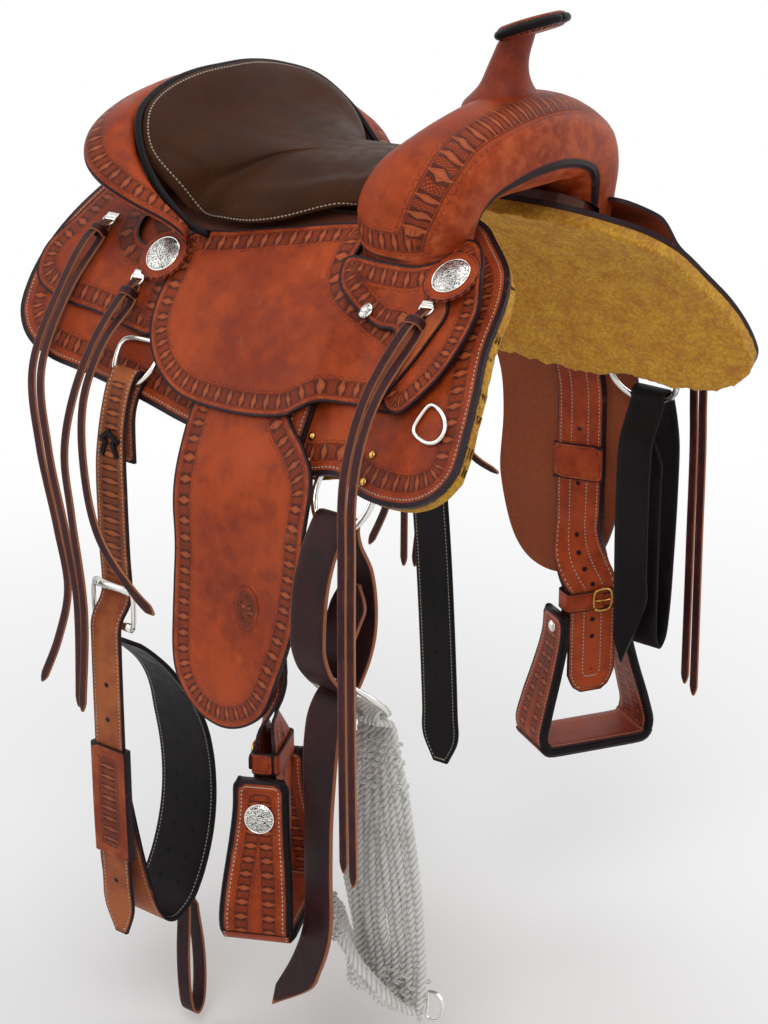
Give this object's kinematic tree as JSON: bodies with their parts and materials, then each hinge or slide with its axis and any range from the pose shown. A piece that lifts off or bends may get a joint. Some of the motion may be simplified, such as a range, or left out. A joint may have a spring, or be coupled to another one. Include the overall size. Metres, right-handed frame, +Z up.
{
  "type": "western saddle",
  "caption": "Western trail saddle with padded seat, horn, tooled skirts, fenders, hanging stirrups, front and flank cinches, and saddle strings, stored unbuckled on a rack.",
  "frame": {"origin": "on the middle plane, 68 mm below the ridge line of the rounded back that the saddle sits on, at the length of the waist between fork and seat", "axes": "+X points to the horse's head, +Y to its near (left) side, +Z up"},
  "size_m": [0.6705, 0.7378, 1.1899],
  "materials": {
    "russet_leather": "tooled vegetable-tanned leather with a dark edge, satin",
    "brown_leather": "smooth chocolate seat leather, soft gloss",
    "burgundy_leather": "dark oiled strap leather with tan raw edges",
    "black_leather": "black leather, matt",
    "fleece_wool": "golden curly wool fleece",
    "rope_white": "laid off-white cinch cord",
    "nickel": "bright plated hardware",
    "tree_wood": "covered wooden tree, hidden"
  },
  "bodies": {
    "saddle": {"tree_bars_and_cantle": "tree_wood", "tree_fork": "tree_wood", "fork_cover": "russet_leather", "horn_wrap": "russet_leather", "horn_cap": "russet_leather", "cantle_binding": "black_leather", "cantle_back": "russet_leather", "seat_pad": "brown_leather", "ground_seat": "brown_leather", "fleece_off": "fleece_wool", "skirt_off": "russet_leather", "rear_jockey_off": "russet_leather", "seat_jockey_off": "russet_leather", "front_jockey_off": "russet_leather", "concho_front_off": "nickel", "concho_rear_off": "nickel", "rigging_ring_off": "nickel", "fleece_near": "fleece_wool", "skirt_near": "russet_leather", "rear_jockey_near": "russet_leather", "seat_jockey_near": "russet_leather", "front_jockey_near": "russet_leather", "concho_front_near": "nickel", "concho_rear_near": "nickel", "rigging_ring_near": "nickel"},
    "leg_off": {"fender_off": "russet_leather", "stirrup_leather_off": "burgundy_leather", "hobble_strap_off": "russet_leather"},
    "stirrup_body_off": {"stirrup_off": "russet_leather"},
    "breast_dee_body_off": {"breast_dee_off": "nickel"},
    "thong_off_1": {"clip_dee_off_1": "nickel", "saddle_string_off_1": "burgundy_leather"},
    "thong_off_2": {"clip_dee_off_2": "nickel", "saddle_string_off_2": "burgundy_leather"},
    "thong_off_3": {"clip_dee_off_3": "nickel", "saddle_string_off_3": "burgundy_leather"},
    "leg_near": {"fender_near": "russet_leather", "stirrup_leather_near": "burgundy_leather", "hobble_strap_near": "russet_leather"},
    "stirrup_body_near": {"stirrup_near": "russet_leather"},
    "breast_dee_body_near": {"breast_dee_near": "nickel"},
    "thong_near_1": {"clip_dee_near_1": "nickel", "saddle_string_near_1": "burgundy_leather"},
    "thong_near_2": {"clip_dee_near_2": "nickel", "saddle_string_near_2": "burgundy_leather"},
    "thong_near_3": {"clip_dee_near_3": "nickel", "saddle_string_near_3": "burgundy_leather"},
    "girth_off": {"off_latigo": "burgundy_leather", "cinch_ring_1": "nickel", "cinch_ring_2": "nickel", "front_cinch": "rope_white"},
    "latigo_near": {"near_latigo": "black_leather"},
    "rear_off": {"rear_dee_off": "nickel", "off_billet": "russet_leather", "roller_buckle": "nickel", "flank_cinch": "russet_leather"},
    "rear_near": {"rear_dee_near": "nickel", "near_billet": "black_leather"},
    "connector": {"connecting_strap": "burgundy_leather"}
  },
  "joints": [
    {"name": "leg_swing_off", "type": "hinge", "parent": "saddle", "child": "leg_off", "pos_m": [0.058, -0.20541, -0.04936], "axis": [0, -0.8651, 0.5016], "range_deg": [-5, 0]},
    {"name": "leg_swing_near", "type": "hinge", "parent": "saddle", "child": "leg_near", "pos_m": [0.058, 0.20541, -0.04936], "axis": [0, 0.8651, 0.5016], "range_deg": [0, 5]},
    {"name": "stirrup_swing_off", "type": "hinge", "parent": "leg_off", "child": "stirrup_body_off", "pos_m": [0.073, -0.284, -0.496], "axis": [0.4695, -0.8829, 0], "range_deg": [-15, 0]},
    {"name": "stirrup_swing_near", "type": "hinge", "parent": "leg_near", "child": "stirrup_body_near", "pos_m": [0.073, 0.284, -0.496], "axis": [0.4695, 0.8829, 0], "range_deg": [0, 15]},
    {"name": "girth_swing", "type": "hinge", "parent": "saddle", "child": "girth_off", "pos_m": [0.15788, -0.28095, -0.20048], "axis": [1, 0, 0], "range_deg": [0, 8]},
    {"name": "latigo_swing", "type": "hinge", "parent": "saddle", "child": "latigo_near", "pos_m": [0.15788, 0.27475, -0.20048], "axis": [1, 0, 0], "range_deg": [-6, 0]},
    {"name": "rear_billet_swing_off", "type": "hinge", "parent": "saddle", "child": "rear_off", "pos_m": [-0.17, -0.20969, -0.07815], "axis": [1, 0, 0], "range_deg": [-12, 0]},
    {"name": "rear_billet_swing_near", "type": "hinge", "parent": "saddle", "child": "rear_near", "pos_m": [-0.17, 0.20969, -0.07815], "axis": [1, 0, 0], "range_deg": [0, 12]},
    {"name": "connector_swing", "type": "hinge", "parent": "rear_off", "child": "connector", "pos_m": [-0.148, -0.19, -0.75], "axis": [1, 0, 0], "range_deg": [-20, 20]},
    {"name": "breast_dee_turn_off", "type": "hinge", "parent": "saddle", "child": "breast_dee_body_off", "pos_m": [0.236, -0.2382, -0.07346], "axis": [0.3761, 0.408, 0.8319], "range_deg": [-60, 0]},
    {"name": "breast_dee_turn_near", "type": "hinge", "parent": "saddle", "child": "breast_dee_body_near", "pos_m": [0.236, 0.2382, -0.07346], "axis": [0.3761, -0.408, 0.8319], "range_deg": [0, 60]},
    {"name": "thong_swing_off_1", "type": "hinge", "parent": "saddle", "child": "thong_off_1", "pos_m": [-0.292, -0.13423, 0.02488], "axis": [0.9999, 0.0035, 0.0139], "range_deg": [-40, 0]},
    {"name": "thong_swing_near_1", "type": "hinge", "parent": "saddle", "child": "thong_near_1", "pos_m": [-0.292, 0.13423, 0.02488], "axis": [0.9999, -0.0035, 0.0139], "range_deg": [0, 40]},
    {"name": "thong_swing_off_2", "type": "hinge", "parent": "saddle", "child": "thong_off_2", "pos_m": [-0.206, -0.17863, -0.01815], "axis": [0.9999, 0.0158, 0.0041], "range_deg": [-40, 0]},
    {"name": "thong_swing_near_2", "type": "hinge", "parent": "saddle", "child": "thong_near_2", "pos_m": [-0.206, 0.17863, -0.01815], "axis": [0.9999, -0.0158, 0.0041], "range_deg": [0, 40]},
    {"name": "thong_swing_off_3", "type": "hinge", "parent": "saddle", "child": "thong_off_3", "pos_m": [0.196, -0.17778, 0.01844], "axis": [0.9953, -0.0142, 0.0954], "range_deg": [-40, 0]},
    {"name": "thong_swing_near_3", "type": "hinge", "parent": "saddle", "child": "thong_near_3", "pos_m": [0.196, 0.17778, 0.01844], "axis": [0.9953, 0.0142, 0.0954], "range_deg": [0, 40]}
  ],
  "couplings": [
    {"joint": "thong_swing_off_2", "follows": "rear_billet_swing_off", "ratio": 1},
    {"joint": "thong_swing_near_2", "follows": "rear_billet_swing_near", "ratio": 1}
  ]
}
